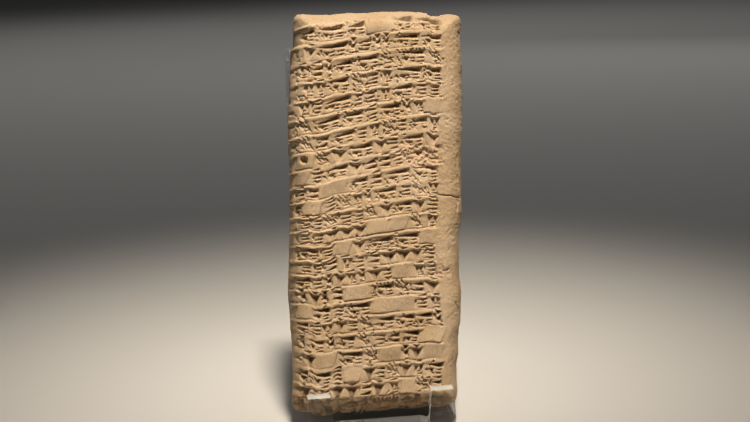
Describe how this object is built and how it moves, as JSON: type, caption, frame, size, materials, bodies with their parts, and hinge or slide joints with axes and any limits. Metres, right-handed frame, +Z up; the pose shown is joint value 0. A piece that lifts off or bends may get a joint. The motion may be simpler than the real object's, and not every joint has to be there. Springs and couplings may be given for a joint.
{
  "type": "cuneiform tablet",
  "caption": "Hand-shaped clay tablet, its face filled with rows of wedge strokes, leaning in a clear acrylic cradle.",
  "frame": {"origin": "on the table, under the middle of the whole object's box", "axes": "+Z up, the written face looks towards -Y and leans back by 12 degrees, +X to the right of someone who reads it"},
  "size_m": [0.0552, 0.0778, 0.1169],
  "materials": {
    "fired_clay": "matte",
    "clear_acrylic": "gloss"
  },
  "bodies": {
    "root": {"tablet": "fired_clay", "cradle": "clear_acrylic"}
  },
  "joints": []
}
